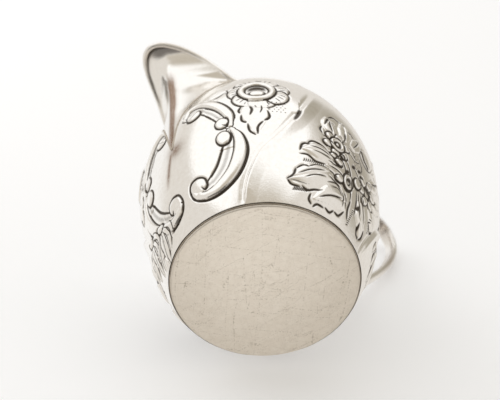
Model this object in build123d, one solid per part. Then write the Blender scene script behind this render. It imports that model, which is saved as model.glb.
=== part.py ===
from build123d import *
import math
import os

# A small silver cream jug that stands on a flat base: a raised bulbous body with a V-section spout let into a
# notch in its front, a flat base plate, a wire round the edge of mouth and spout, and a loop handle at the back.
# Origin at the centre of the base's underside, +Z up, spout towards -X, handle towards +X. Millimetres.

# Body: an ellipse of revolution in two halves that meet at the widest point.
BASE_R = 28.0  # outer radius where the body meets the table plane
BELLY_R = 37.4  # widest outer radius
BELLY_Z = 42.1  # height of the widest point
SHOULDER_RISE = 44.25  # vertical semi-axis of the upper half
WALL = 0.8  # sheet thickness of body and spout
BODY_TOP = 80.0  # height that the body blank reaches before the mouth is cut
PROFILE_STEPS = 14  # points of the body's profile curve

# Base plate and the solder round it.
PLATE_T = 1.0
PLATE_R = 27.95
PLATE_EDGE_R = 0.25  # rounding of the plate's lower edge
BASE_FILLET = 1.2  # legs of the solder fillet inside, between plate and body
BASE_FILLET_DIP = 0.12  # how far the fillet's face is hollowed

# Spout: V sections at rising heights. Up to the mouth each row is height, nose distance from the axis, nose radius
# and the angle, round from the front, at which the V's side meets the body.
SEAM_STATIONS = (
    (34.0, 37.25, 1.0, 0.3),
    (40.0, 37.6, 1.0, 2.2),
    (47.0, 37.8, 1.1, 5.0),
    (55.0, 37.9, 1.3, 10.5),
    (63.0, 38.2, 1.5, 20.0),
    (70.0, 38.8, 2.0, 30.0),
)
# Above the mouth each row is height, nose distance, nose radius and a point (distance forward, half width) that the
# V's side passes through.
LIP_STATIONS = (
    (76.2, 39.8, 3.0, 29.9, 13.2),
    (80.1, 41.5, 5.0, 34.6, 11.4),
    (82.2, 43.4, 6.5, 40.0, 9.2),
    (83.3, 45.6, 7.0, 43.0, 8.3),
    (84.1, 48.4, 7.0, 45.6, 8.4),
    (84.8, 52.0, 7.0, 49.0, 8.6),
)
NOTCH_TOP = ((76.0, 38.0), (86.0, 46.0))  # height and half angle of the notch's cutter above the body
NOTCH_REACH = (15.0, 70.0)  # the cutter's distances from the axis
SPOUT_SIDE_RUN = 3.0  # how far the V side runs on behind its point, before it is trimmed
SOLDER_GAP_ANGLE = 0.06  # degrees left between the notch and the spout's sheet for the solder
LIP_THICKENING = 1.1  # extra horizontal thickness where the lip lies nearly flat
LIP_START_Z = 76.0

# Edge of mouth and spout, seen from the side: distance forward of the axis, height.
RIM_SIDE = ((-45.0, 71.0), (-20.0, 70.2), (0.0, 69.8), (18.0, 71.0), (25.1, 73.3), (29.9, 76.4), (34.6, 80.0),
            (39.6, 82.4), (43.2, 83.6), (45.6, 84.4), (48.2, 84.95), (56.0, 86.5))
# The same edge on the spout, from above: distance forward, half width.
RIM_PLAN = ((27.0, 13.9), (29.9, 13.0), (34.6, 11.1), (39.6, 9.2), (43.2, 7.6), (45.8, 5.5), (47.5, 2.9),
            (48.1, 1.0))
RIM_TIP = 48.2
MOUTH_ANGLES = (44.0, 58.0, 75.0, 95.0, 115.0, 135.0, 157.0, 177.0)  # degrees round from the spout
WIRE_R = 0.9
WIRE_GAP = 0.05  # room for solder between the wire and the sheet's edge
RIM_STEPS = 16  # points of the curve along which the sheet is trimmed

# Handle: centre line in the XZ plane, and its D section.
HANDLE_PATH = ((33.5, 25.5), (40.0, 32.5), (49.0, 43.8), (57.0, 55.6), (62.9, 66.5), (65.9, 76.0), (64.8, 83.6),
               (60.0, 87.4), (51.5, 85.6), (42.5, 77.8), (36.2, 69.6), (31.0, 61.0))
HANDLE_W = 4.6  # across the plane of the loop
HANDLE_T = 2.7  # in the plane of the loop
HANDLE_EDGE = 0.2  # depth of the D's widest line below its middle, as a part of half the thickness
HANDLE_FLAT = 0.72  # width of the D's flat side, as a part of the whole width
SOLDER_REACH = 2.2  # height of the solder fillet round a handle end
SOLDER_SPREAD = 0.9  # how far that fillet stands out at its foot
SOLDER_SKIN = 0.05  # how thin it is at its other end

# Runs of solder up the sides of the notch.
SPOUT_BEAD_R = 0.45
BEAD_DROP = 0.6  # how far each run lies below the notch's edge

BLANK_REACH = 60.0  # how far cutting solids run past the jug
HALVINGS = 50  # steps of each search by halving
MOUTH_GUESS_Z = 70.0
MOUTH_ROUNDS = 12  # steps in which a point of the mouth settles
EXIT_STEP = 0.002  # step along the handle's path in the search for where it leaves the body

LOWER_RISE = BELLY_Z / math.sqrt(1 - (BASE_R / BELLY_R) ** 2)


def body_radius(z, inset=0.0):
    """Outer radius of the body at height z, or of a surface inset from it."""
    rise = SHOULDER_RISE if z > BELLY_Z else LOWER_RISE
    return (BELLY_R - inset) * math.sqrt(1 - ((z - BELLY_Z) / (rise - inset)) ** 2)


def filled_body(inset, z_low):
    """Solid of revolution bounded by the body surface, or by a surface inset from it."""
    heights = [z_low + (BODY_TOP - z_low) * step / PROFILE_STEPS for step in range(PROFILE_STEPS + 1)]
    side = Spline(*[(body_radius(z, inset), z) for z in heights])
    closing = Polyline(side @ 1, (0, BODY_TOP), (0, z_low), side @ 0)
    return revolve(Plane.XZ * make_face([side, closing]), Axis.Z, 360)


def spout_half_angle(nose, nose_r, side):
    """Half angle of the V whose rounded nose and flat side touch the given nose and side point."""
    low, high = math.radians(20), math.radians(89)
    for _ in range(HALVINGS):
        angle = (low + high) / 2
        reach = (side[0] - nose + nose_r) * math.sin(angle) + side[1] * math.cos(angle)
        low, high = (angle, high) if reach > nose_r else (low, angle)
    return angle


def seam_point(z, angle):
    """Where the notch's edge lies on the body's outer surface: distance forward and to the side."""
    turn = math.radians(angle)
    return (body_radius(z) * math.cos(turn), body_radius(z) * math.sin(turn))


def spout_stations():
    """All V sections, each with the point that its side passes through."""
    lower = [(z, nose, nose_r) + seam_point(z, angle) for z, nose, nose_r, angle in SEAM_STATIONS]
    return lower + list(LIP_STATIONS)


def spout_outline(station, inset, run):
    """Points of one V section, inset from its outer face: side end, nose tangent point, nose, and so on round."""
    z, nose, nose_r, side_a, side_b = station
    angle = spout_half_angle(nose, nose_r, (side_a, side_b))
    along = Vector(-math.cos(angle), math.sin(angle))
    outward = Vector(math.sin(angle), math.cos(angle))
    touch = Vector(nose - nose_r, 0) + outward * (nose_r - inset)
    end = Vector(side_a, side_b) - outward * inset + along * run
    return [(-end.X, end.Y), (-touch.X, touch.Y), (-(nose - inset), 0), (-touch.X, -touch.Y), (-end.X, -end.Y)]


def v_line(points):
    """Open V with a rounded nose through the five points of an outline."""
    return [Line(points[0], points[1]), ThreePointArc(*points[1:4]), Line(points[3], points[4])]


def wall_at(z):
    """Horizontal thickness of the spout's wall, which grows where the lip lies nearly flat."""
    flare = max(0.0, z - LIP_START_Z) / (LIP_STATIONS[-1][0] - LIP_START_Z)
    return WALL + LIP_THICKENING * flare


def spout_blank():
    """The V beak as a thin wall that runs on above the rim and behind the notch's edge."""
    sections = []
    for station in spout_stations():
        outer = spout_outline(station, 0.0, SPOUT_SIDE_RUN)
        inner = spout_outline(station, wall_at(station[0]), SPOUT_SIDE_RUN)
        ends = [Line(outer[0], inner[0]), Line(outer[4], inner[4])]
        sections.append(Plane.XY.offset(station[0]) * make_face(v_line(outer) + v_line(inner) + ends))
    return loft(sections)


def notch(shrink):
    """Wedge that widens upwards from the spout's root, with its sides pointing at the jug's axis."""
    near, far = NOTCH_REACH
    sections = []
    for z, angle in [(row[0], row[3]) for row in SEAM_STATIONS] + list(NOTCH_TOP):
        turn = math.radians(angle - shrink)
        corners = [(-r * math.cos(turn), side * r * math.sin(turn)) for r, side in
                   ((near, -1), (far, -1), (far, 1), (near, 1))]
        sections.append(Plane.XY.offset(z) * make_face(Polyline(*corners, close=True)))
    return loft(sections)


def above_rim():
    """Everything higher than the underside of the rim wire."""
    drop = WIRE_R + WIRE_GAP
    line = Spline(*[(-a, z) for a, z in RIM_SIDE])
    points = []
    for step in range(RIM_STEPS + 1):
        across = (line % (step / RIM_STEPS)).rotate(Axis.Z, 90)
        points.append(line @ (step / RIM_STEPS) + across * drop)
    edge = Spline(*points)
    lift = Vector(0, BLANK_REACH)
    top = Polyline(edge @ 1, (edge @ 1) + lift, (edge @ 0) + lift, edge @ 0)
    return extrude(Plane.XZ * make_face([edge, top]), BLANK_REACH, both=True)


def rim_height(a):
    """Height of the mouth edge at distance a forward of the axis."""
    edge = Spline(*[(p, q) for p, q in RIM_SIDE])
    low, high = 0.0, 1.0
    for _ in range(HALVINGS):
        middle = (low + high) / 2
        low, high = (middle, high) if (edge @ middle).X < a else (low, middle)
    return (edge @ low).Y


def mouth_point(angle):
    """Point on the middle of the body wall at the mouth, at an angle in degrees round from the spout."""
    turn = math.radians(angle)
    z = MOUTH_GUESS_Z
    for _ in range(MOUTH_ROUNDS):
        z = rim_height(body_radius(z, WALL / 2) * math.cos(turn))
    r = body_radius(z, WALL / 2)
    return (-r * math.cos(turn), r * math.sin(turn), z)


def rim_wire():
    """Closed loop of round wire on the edge of mouth and spout, made as two mirrored halves."""
    side = [(-a, b, rim_height(a)) for a, b in reversed(RIM_PLAN)]
    side += [mouth_point(angle) for angle in MOUTH_ANGLES]
    middle = [(-RIM_TIP, 0, rim_height(RIM_TIP))] + side + [mouth_point(180)]
    path = Spline(*middle)
    half = sweep(Plane(origin=path @ 0, z_dir=path % 0) * Circle(WIRE_R), path)
    return half + mirror(half, about=Plane.XZ)


def handle_section(plane, grow=0.0):
    """D section on a plane whose x runs across the loop: flat inside, domed outside."""
    half_w = HANDLE_W / 2 + grow
    half_t = HANDLE_T / 2 + grow
    edge = -half_t * HANDLE_EDGE
    flat = half_w * HANDLE_FLAT
    dome = ThreePointArc((-half_w, edge), (0, half_t), (half_w, edge))
    belly = Polyline((half_w, edge), (flat, -half_t), (-flat, -half_t), (-half_w, edge))
    return plane * make_face([dome, belly])


def handle_plane(path, at):
    """Section plane across the handle's centre line, with y pointing to the outside of the loop."""
    return Plane(origin=path @ at, x_dir=(0, -1, 0), z_dir=path % at)


def handle_path():
    """Centre line of the handle, from its lower to its upper end."""
    return Spline(*[(x, 0, z) for x, z in HANDLE_PATH])


def handle_collar(path, near, far):
    """Tapered fillet of solder round a handle end, before the handle and the body are cut from it."""
    foot = handle_section(handle_plane(path, near), SOLDER_SPREAD)
    top = handle_section(handle_plane(path, far), SOLDER_SKIN)
    return loft([foot, top])


def where_handle_leaves(path, start, step):
    """Path position at which the handle's centre line comes out of the body."""
    at = start
    while (path @ at).X < body_radius((path @ at).Z):
        at += step
    return at


def spout_bead():
    """Runs of solder up both sides of the notch, before body and spout are cut from them."""
    points = []
    for z, _, _, angle in SEAM_STATIONS[1:]:
        a, b = seam_point(z, angle)
        points.append((-a, b, z - BEAD_DROP))
    path = Spline(*points)
    return sweep(Plane(origin=path @ 0, z_dir=path % 0) * Circle(SPOUT_BEAD_R), path)


def base_plate():
    disc = Cylinder(PLATE_R, PLATE_T, align=(Align.CENTER, Align.CENTER, Align.MIN))
    return fillet(disc.edges().sort_by(Axis.Z)[0], PLATE_EDGE_R)


def base_fillet():
    """Ring of solder inside, in the corner between the plate's face and the body's lower edge."""
    inner_r = body_radius(PLATE_T, WALL)
    foot = (inner_r - BASE_FILLET, PLATE_T)
    top = (body_radius(PLATE_T + BASE_FILLET, WALL), PLATE_T + BASE_FILLET)
    dip = BASE_FILLET_DIP * math.sqrt(0.5)
    middle = ((foot[0] + top[0]) / 2 + dip, (foot[1] + top[1]) / 2 - dip)
    face = ThreePointArc(foot, middle, top)
    beyond = Polyline(top, (BASE_R + BASE_FILLET, top[1]), (BASE_R + BASE_FILLET, PLATE_T), foot)
    return revolve(Plane.XZ * make_face([face, beyond]), Axis.Z, 360)


cavity = filled_body(WALL, PLATE_T)
outside = filled_body(0.0, PLATE_T)
cut_away = above_rim()

body = outside - cavity - notch(0.0) - cut_away
spout = (spout_blank() & notch(SOLDER_GAP_ANGLE)) - cut_away

path = handle_path()
low_exit = where_handle_leaves(path, 0.0, EXIT_STEP)
high_exit = where_handle_leaves(path, 1.0, -EXIT_STEP)
reach = SOLDER_REACH / path.length
bar = sweep(handle_section(handle_plane(path, 0)), path)
handle = bar - outside
lower_collar = handle_collar(path, low_exit - reach, low_exit + reach) - outside - bar
upper_collar = handle_collar(path, high_exit + reach, high_exit - reach) - outside - bar

bead = spout_bead() - outside - spout

nodes = {
    "body": body,
    "base_plate": base_plate(),
    "spout": spout,
    "rim_wire": rim_wire(),
    "handle": handle,
    "base_solder": base_fillet() & cavity,
    "spout_solder": bead + mirror(bead, about=Plane.XZ),
    "handle_lower_solder": lower_collar,
    "handle_upper_solder": upper_collar,
}

os.makedirs("parts", exist_ok=True)
for name, shape in nodes.items():
    export_step(shape, f"parts/{name}.step")
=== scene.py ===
import math
import random

import bmesh
import bpy
import numpy as np
from mathutils import Matrix, Vector


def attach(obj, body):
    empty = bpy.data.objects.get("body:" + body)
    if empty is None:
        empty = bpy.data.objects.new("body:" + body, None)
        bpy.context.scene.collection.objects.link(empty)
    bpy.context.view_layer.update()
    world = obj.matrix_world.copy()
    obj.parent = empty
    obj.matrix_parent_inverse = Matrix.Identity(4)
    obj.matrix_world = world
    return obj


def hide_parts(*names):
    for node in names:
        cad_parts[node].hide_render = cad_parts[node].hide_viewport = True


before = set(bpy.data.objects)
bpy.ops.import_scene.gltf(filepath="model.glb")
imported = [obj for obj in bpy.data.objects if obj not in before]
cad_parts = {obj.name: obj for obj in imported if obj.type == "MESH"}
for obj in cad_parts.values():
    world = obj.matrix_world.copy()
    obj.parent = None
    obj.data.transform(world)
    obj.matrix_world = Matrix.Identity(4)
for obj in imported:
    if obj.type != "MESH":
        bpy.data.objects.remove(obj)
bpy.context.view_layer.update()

MM = 0.001

# The bowl in millimetres, as the CAD has it: two half ellipses of revolution that meet at the widest point.
BASE_R = 28.0
BELLY_R = 37.4
BELLY_Z = 42.1
SHOULDER_RISE = 44.25
LOWER_RISE = BELLY_Z / math.sqrt(1 - (BASE_R / BELLY_R) ** 2)
WALL = 0.8
PLATE_T = 1.0
PLATE_R = 27.95
FILLET = 1.2
FILLET_HOLD = 0.3  # how far the inner fillet reaches into the wall
WIRE_R = 0.9
EDGE_DROP = 0.85  # how far the sheet's edge lies below the rim's height
SIDEWAYS = np.array([0.0, 1.0, 0.0])

# Spout: height, nose distance from the axis, nose radius, half angle of the V in degrees.
SPOUT_ROWS = ((34.0, 37.25, 1.0, 84.0), (40.0, 37.6, 1.0, 78.0), (47.0, 37.8, 1.1, 74.0),
              (55.0, 37.9, 1.3, 66.0), (63.0, 38.2, 1.5, 57.5), (70.0, 38.8, 2.0, 47.0),
              (76.2, 39.8, 3.0, 51.0), (80.1, 41.5, 5.0, 55.0), (82.2, 43.4, 6.5, 62.0),
              (83.3, 45.6, 7.0, 66.0), (84.1, 48.4, 7.0, 68.0), (84.8, 51.0, 7.0, 70.0))
# Half angle of the notch in the bowl at each height.
SEAM_ROWS = ((34.0, 0.3), (40.0, 2.2), (47.0, 5.0), (55.0, 10.5), (63.0, 20.0), (70.0, 30.0), (74.0, 34.0))
ROOT_Z = 34.0
MOUTH_HALF = 14.4
MOUTH_TURN = 31.5  # degrees round from the spout's middle at which the round mouth starts
# Edge of mouth and spout from the side: distance forward of the axis, height.
RIM_ROWS = ((-45.0, 71.0), (-20.0, 70.2), (0.0, 69.8), (18.0, 71.0), (25.1, 73.3), (29.9, 76.4), (34.6, 80.0),
            (39.6, 82.4), (43.2, 83.6), (45.6, 84.4), (48.2, 84.95), (56.0, 86.5))
# Height of the spout's edge against half width.
LIP_ROWS = ((0.0, 84.95), (1.0, 84.93), (2.9, 84.85), (5.5, 84.4), (7.6, 83.6), (9.2, 82.4), (11.1, 80.0),
            (13.0, 76.4), (13.9, 74.4), (14.4, 73.4), (16.0, 71.5))

HANDLE_PATH = ((33.5, 25.5), (40.0, 32.5), (49.0, 43.8), (57.0, 55.6), (62.9, 66.5), (65.9, 76.0),
               (64.8, 83.6), (60.0, 87.4), (51.5, 85.6), (42.5, 77.8), (36.2, 69.6), (31.0, 61.0))
HANDLE_W = 4.6
HANDLE_T = 2.7

# Chasing: how much wider every traced line is than its drawn width, and half the width of a crease.
STROKE_SCALE = 1.2
CREASE_HALF = 3.4
ROSE_PETALS = 7
ROSE_AT = (43.4, 48.4)  # turn in degrees and height of its middle
CHASING_TURN = 3.0  # degrees that the whole design sits off the spout's middle
SECOND_ROSE_TURN = 100.0

# ---- curves and meshes


def smooth_table(rows, x, column=1):
    """Catmull-Rom interpolation of one column of a table, at an array of positions."""
    keys = np.array([row[0] for row in rows], float)
    values = np.array([row[column] for row in rows], float)
    slopes = np.gradient(values, keys)
    x = np.clip(x, keys[0], keys[-1])
    i = np.clip(np.searchsorted(keys, x) - 1, 0, len(keys) - 2)
    width = keys[i + 1] - keys[i]
    t = (x - keys[i]) / width
    return ((1 + 2 * t) * (1 - t) ** 2 * values[i] + t * (1 - t) ** 2 * width * slopes[i]
            + t * t * (3 - 2 * t) * values[i + 1] + t * t * (t - 1) * width * slopes[i + 1])


def curve(points, per_span=8):
    """Points along a Catmull-Rom curve through the given points of any dimension."""
    p = np.array(points, float)
    if len(p) == 2:
        return p[0] + (p[1] - p[0]) * np.linspace(0, 1, per_span + 1)[:, None]
    p = np.vstack([2 * p[0] - p[1], p, 2 * p[-1] - p[-2]])
    out = []
    for a, b, c, d in zip(p[:-3], p[1:-2], p[2:-1], p[3:]):
        t = np.linspace(0, 1, per_span, endpoint=False)[:, None]
        out.append(0.5 * (2 * b + (c - a) * t + (2 * a - 5 * b + 4 * c - d) * t ** 2
                          + (3 * b - a - 3 * c + d) * t ** 3))
    out.append(p[-2:-1])
    return np.vstack(out)


def bowl_radius(z, inset=0.0):
    rise = np.where(z > BELLY_Z, SHOULDER_RISE, LOWER_RISE)
    inside = np.clip(1 - ((z - BELLY_Z) / (rise - inset)) ** 2, 1e-4, 1)
    return (BELLY_R - inset) * np.sqrt(inside)


def bowl_normal(z):
    """Radial and vertical parts of the bowl's outward normal."""
    rise = np.where(z > BELLY_Z, SHOULDER_RISE, LOWER_RISE)
    nr = bowl_radius(z) / BELLY_R ** 2
    nz = (z - BELLY_Z) / rise ** 2
    length = np.hypot(nr, nz)
    return nr / length, nz / length


def clamp(values):
    return np.clip(values, 0, 1)


def circle(count):
    """Evenly spaced angles round a full turn."""
    return np.linspace(0, 2 * math.pi, count + 1)[:-1]


def unit(vectors):
    return vectors / np.linalg.norm(vectors, axis=1)[:, None]


def tangents_along(path, closed=False):
    """Unit direction along a path at each of its points."""
    if closed:
        return unit(np.roll(path, -1, 0) - np.roll(path, 1, 0))
    return unit(np.gradient(path, axis=0))


def frames_along(path, closed=False):
    """Unit directions across a path at each of its points: away from the jug's axis, and square to that."""
    tangent = tangents_along(path, closed)
    out = unit(np.stack([path[:, 0], path[:, 1], np.zeros(len(path))], -1))
    across = unit(np.cross(tangent, out))
    return np.cross(across, tangent), across


def new_mesh(name, points, faces, attributes=None):
    """Smooth-shaded object from an array of points in millimetres and a list of arrays of faces."""
    mesh = bpy.data.meshes.new(name)
    points = np.asarray(points, float).reshape(-1, 3) * MM
    sizes = np.concatenate([np.full(len(f), f.shape[1]) for f in faces])
    corners = np.concatenate([f.ravel() for f in faces])
    mesh.vertices.add(len(points))
    mesh.vertices.foreach_set("co", points.ravel())
    mesh.loops.add(len(corners))
    mesh.loops.foreach_set("vertex_index", corners)
    mesh.polygons.add(len(sizes))
    mesh.polygons.foreach_set("loop_start", np.concatenate([[0], np.cumsum(sizes)[:-1]]))
    mesh.polygons.foreach_set("use_smooth", np.ones(len(sizes), bool))
    for key, values in (attributes or {}).items():
        layer = mesh.attributes.new(key, "FLOAT", "POINT")
        layer.data.foreach_set("value", np.asarray(values, np.float32).ravel())
    mesh.update(calc_edges=True)
    facing = bmesh.new()
    facing.from_mesh(mesh)
    bmesh.ops.recalc_face_normals(facing, faces=facing.faces)
    facing.to_mesh(mesh)
    facing.free()
    obj = bpy.data.objects.new(name, mesh)
    bpy.context.scene.collection.objects.link(obj)
    return obj


def quads(index):
    """Quads of a grid of vertex numbers."""
    return np.stack([index[:-1, :-1], index[:-1, 1:], index[1:, 1:], index[1:, :-1]], -1).reshape(-1, 4)


def tube(name, sections, closed, attributes=None):
    """Mesh swept through a list of section rings, capped at the ends when open."""
    rings = np.array(sections)
    count, around = rings.shape[:2]
    index = np.arange(count * around).reshape(count, around)
    index = np.hstack([index, index[:, :1]])
    if closed:
        index = np.vstack([index, index[:1]])
    faces = [quads(index)]
    points = rings.reshape(-1, 3)
    if not closed:
        faces.append(index[:1, :-1])
        faces.append(index[-1:, -2::-1])
    return new_mesh(name, points, faces, attributes)


def finish_piece(obj, node, material):
    """Puts the piece on the jug's one body, in the place of its CAD node if it has one."""
    obj.data.materials.append(material)
    if node:
        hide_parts(node)
    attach(obj, "root")
    return obj


# ---- chased relief of the bowl


class Relief:
    """Height in millimetres and darkness of the chasing, over points of the bowl; the darkness is tarnish in
    the chased hollows together with painted shade. A point is given by its turn round from the spout in
    degrees, positive towards -Y, and its height."""

    def __init__(self, turn, z):
        self.turn = turn
        self.z = z
        self.height = np.zeros_like(z)
        self.dark = np.zeros_like(z)
        self.side = 1
        self.centre = 0.0

    def _near(self, points, margin):
        """Points close to a path, the path in millimetres, and each point's distance, position and side."""
        path = np.array(points, float)
        path[:, 0] = self.centre + self.side * path[:, 0]
        k = math.radians(1) * float(bowl_radius(np.array(path[:, 1].mean())))
        low, high = path.min(0), path.max(0)
        around = (self.turn - (low[0] + high[0]) / 2 + 180) % 360 - 180
        found = np.nonzero((np.abs(around) < (high[0] - low[0]) / 2 + margin / k)
                           & (self.z > low[1] - margin) & (self.z < high[1] + margin))[0]
        px = (around[found] + (low[0] + high[0]) / 2) * k
        py = self.z[found]
        best = np.full(len(found), 1e9)
        place = np.zeros(len(found))
        across = np.zeros(len(found))
        total = len(path) - 1
        for i in range(total):
            ax, ay = path[i, 0] * k, path[i, 1]
            bx, by = path[i + 1, 0] * k - ax, path[i + 1, 1] - ay
            t = clamp(((px - ax) * bx + (py - ay) * by) / (bx * bx + by * by + 1e-9))
            dx, dy = px - ax - t * bx, py - ay - t * by
            d = np.hypot(dx, dy)
            closer = d < best
            best = np.where(closer, d, best)
            place = np.where(closer, (i + t) / total, place)
            across = np.where(closer, np.sign(bx * dy - by * dx) * d, across)
        return found, best, place, across * self.side

    def stroke(self, points, width=0.3, depth=0.3, dark=1.0, ends=0.35):
        """Line pushed in with a tracer: a groove that thins towards its ends."""
        width = width * STROKE_SCALE
        found, d, place, _ = self._near(curve(points, 6), 4 * width)
        taper = ends + (1 - ends) * np.sin(np.pi * place) ** 0.6
        line = np.exp(-(d / (width * (0.5 + 0.5 * taper))) ** 2)
        self.height[found] -= depth * taper * line
        self.dark[found] = np.maximum(self.dark[found], dark * np.minimum(1, taper * 1.2) * line ** 0.8)

    def band(self, points, widths, profile, added=False):
        """Raised or sunk band along a curve; profile gives height and darkness against -1 to 1 across it."""
        along = curve([p + (w,) for p, w in zip(points, widths)], 8)
        found, d, place, across = self._near(along[:, :2], max(widths) * 1.4)
        half = np.interp(place, np.linspace(0, 1, len(along)), along[:, 2])
        q = across / np.maximum(half, 0.05)
        past_end = clamp((d / np.maximum(half, 0.05)) - np.abs(q))
        height, dark = profile(q, place)
        keep = (np.abs(q) < 1.35) & (past_end < 0.02)
        before = self.height[found]
        covered = np.where(height > 0, np.maximum(before, height), before + height)
        on_top = before + height if added else covered
        self.height[found] = np.where(keep, on_top, before)
        under = self.dark[found] * (1 if added else np.where(keep & (np.abs(q) < 0.9), 0.45, 1))
        self.dark[found] = np.maximum(under, np.where(keep, dark, 0))

    def _around(self, centre, reach):
        """Points close to a centre, and their places across and up from it in millimetres."""
        turn = self.centre + self.side * centre[0]
        k = math.radians(1) * float(bowl_radius(np.array(centre[1])))
        x = ((self.turn - turn + 180) % 360 - 180) * k * self.side
        y = self.z - centre[1]
        found = np.nonzero((np.abs(x) < reach) & (np.abs(y) < reach))[0]
        return found, x[found], y[found]

    def dome(self, centre, radii, height, tilt=0.0, outline=0.9):
        """Raised oval with a traced outline."""
        found, x, y = self._around(centre, max(radii) * 1.5)
        c, s = math.cos(math.radians(tilt)), math.sin(math.radians(tilt))
        rho = np.hypot((x * c + y * s) / radii[0], (y * c - x * s) / radii[1])
        swell = height * np.sqrt(clamp(1 - rho ** 2))
        self.height[found] = np.maximum(self.height[found], swell)
        self.dark[found] *= np.where(rho < 0.95, 0.15, 1)
        edge = np.exp(-((rho - 1.0) * min(radii) / 0.36) ** 2)
        self.height[found] -= 0.28 * edge * outline
        self.dark[found] = np.maximum(self.dark[found], outline * edge)

    def ring(self, centre, radii, inner, height):
        """Raised ring round a sunk bowl, with traced edges and painted shade in the upper half of the bowl.
        """
        found, x, y = self._around(centre, max(radii) * 1.4)
        rho = np.hypot(x / radii[0], y / radii[1])
        swell = clamp(1 - ((rho - (1 + inner) / 2) / ((1 - inner) / 2)) ** 2)
        bowl = clamp(1 - (rho / inner) ** 2)
        own = height * np.sqrt(swell) + height * (0.35 - 0.75 * bowl) * (rho < inner)
        self.height[found] = np.where(rho < 1, own, self.height[found])
        self.dark[found] *= np.where(rho < 1, 0.1, 1)
        for at, strength in ((1.0, 1.0), (inner, 0.75)):
            edge = np.exp(-((rho - at) * min(radii) / 0.4) ** 2)
            self.height[found] -= 0.3 * edge * strength
            self.dark[found] = np.maximum(self.dark[found], strength * edge)
        # Painted shade: the upper half of the sunk bowl is darkened, as if its rim shadowed it.
        upper = clamp(0.5 + y / (radii[1] * inner))
        self.dark[found] = np.maximum(self.dark[found], 0.75 * np.minimum(1, 2.2 * bowl) * upper)

    def dots(self, low, high, spacing, rng):
        """Matting: staggered rows of round punch marks."""
        for row, z in enumerate(np.arange(low[1], high[1], spacing * 0.87)):
            for turn in np.arange(low[0] + (row % 2) * spacing / 1.3, high[0], spacing / 0.65):
                at = (turn + rng.uniform(-0.15, 0.15), z + rng.uniform(-0.1, 0.1))
                self.stroke([at, (at[0] + 0.05, at[1])], 0.2, 0.12, 0.8, 1.0)

    def hatch(self, start, end, count, length, lean):
        """Row of short ticks between two points."""
        for i in range(count):
            f = (i + 0.5) / count
            x = start[0] + (end[0] - start[0]) * f
            y = start[1] + (end[1] - start[1]) * f
            self.stroke([(x, y), (x + lean, y + length)], 0.16, 0.14, 0.85, 0.8)


def scroll_profile(q, place):
    """C-scroll: a fat roll outside, a fine line, and a hollow channel inside, edged by traced lines."""
    roll = clamp(1 - ((q - 0.47) / 0.5) ** 2)
    channel = clamp(1 - ((q + 0.5) / 0.42) ** 2)
    height = 0.85 * np.sqrt(roll) - 0.35 * channel
    # Tarnish and painted shade: the hollow channel and the traced lines are darkened.
    dark = 0.42 * channel ** 2
    lines = ((1.05, 0.14, 0.5, 1.0), (-1.0, 0.13, 0.4, 1.0), (-0.06, 0.09, 0.3, 0.8))
    for at, width, depth, strength in lines:
        line = np.exp(-((q - at) / width) ** 2)
        height = height - depth * line
        dark = np.maximum(dark, strength * line)
    return height * np.sin(np.pi * np.clip(place, 0.02, 0.98)) ** 0.25, dark


def leaf_profile(height, crease=0.5, rim=0.0):
    """Leaf or petal: two convex halves with a crease between them."""
    def profile(q, place):
        half = clamp(1 - q ** 2)
        fold = np.exp(-(q / 0.12) ** 2)
        edge = np.exp(-((np.abs(q) - 1) / 0.12) ** 2)
        fade = np.sin(np.pi * np.clip(place, 0.0, 1.0)) ** 0.4
        return (height * np.sqrt(half) * (1 - crease * fold) - 0.15 * edge * rim) * fade, rim * edge * fade
    return profile


def step_profile(q, place):
    """Soft fold in the sheet: a quick rise on one side that dies away slowly on the other."""
    rise = 1 / (1 + np.exp(-q * 12))
    fall = clamp(1 - q / 1.3) ** 1.5
    valley = np.exp(-((q + 0.3) / 0.25) ** 2)
    fade = clamp(place * 8 + 0.3) * clamp((1 - place) * 4)
    # The darkness returned is painted shade in the valley beside the rise.
    return (0.9 * rise * fall - 0.35 * valley) * fade, 0.12 * valley * fade


def chase_cartouche(relief):
    """Two C-scrolls on each side of the plain panel below the spout."""
    relief.band(((7.2, 44.6), (9.5, 47.0), (14.5, 46.6), (21.5, 42.0), (26.3, 36.4), (28.0, 31.6)),
                (1.8, 2.3, 3.0, 3.2, 3.0, 1.6), scroll_profile)
    relief.dome((25.0, 33.1), (2.2, 2.7), 0.6)
    relief.stroke(((27.8, 35.3), (28.4, 33.4), (27.0, 31.6), (25.2, 32.0)), 0.22, 0.22, 0.9)
    relief.dome((10.8, 43.4), (2.7, 2.3), 0.55, tilt=35)
    relief.stroke(((7.6, 41.6), (10.5, 43.2), (13.8, 45.3)), 0.2, 0.18, 0.5)
    relief.band(((29.0, 28.8), (30.3, 25.0), (29.6, 19.6), (25.8, 13.9), (19.2, 10.2), (12.5, 8.9),
                 (7.0, 10.0)), (1.4, 2.8, 3.9, 4.0, 3.5, 2.7, 2.2), scroll_profile)
    relief.dome((25.3, 26.2), (2.4, 3.1), 0.65)
    relief.stroke(((27.6, 29.2), (28.9, 26.6), (27.8, 24.0), (25.6, 23.4)), 0.24, 0.22, 0.9)
    relief.dome((8.6, 11.9), (3.0, 2.6), 0.5, outline=0.0)
    relief.stroke(((10.5, 6.5), (5.4, 7.8), (2.9, 11.0), (4.4, 14.2), (8.6, 15.1), (12.6, 13.6), (13.4, 11.0),
                   (11.6, 9.9), (10.4, 10.8)), 0.32, 0.38, 1.0, 0.5)


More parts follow.
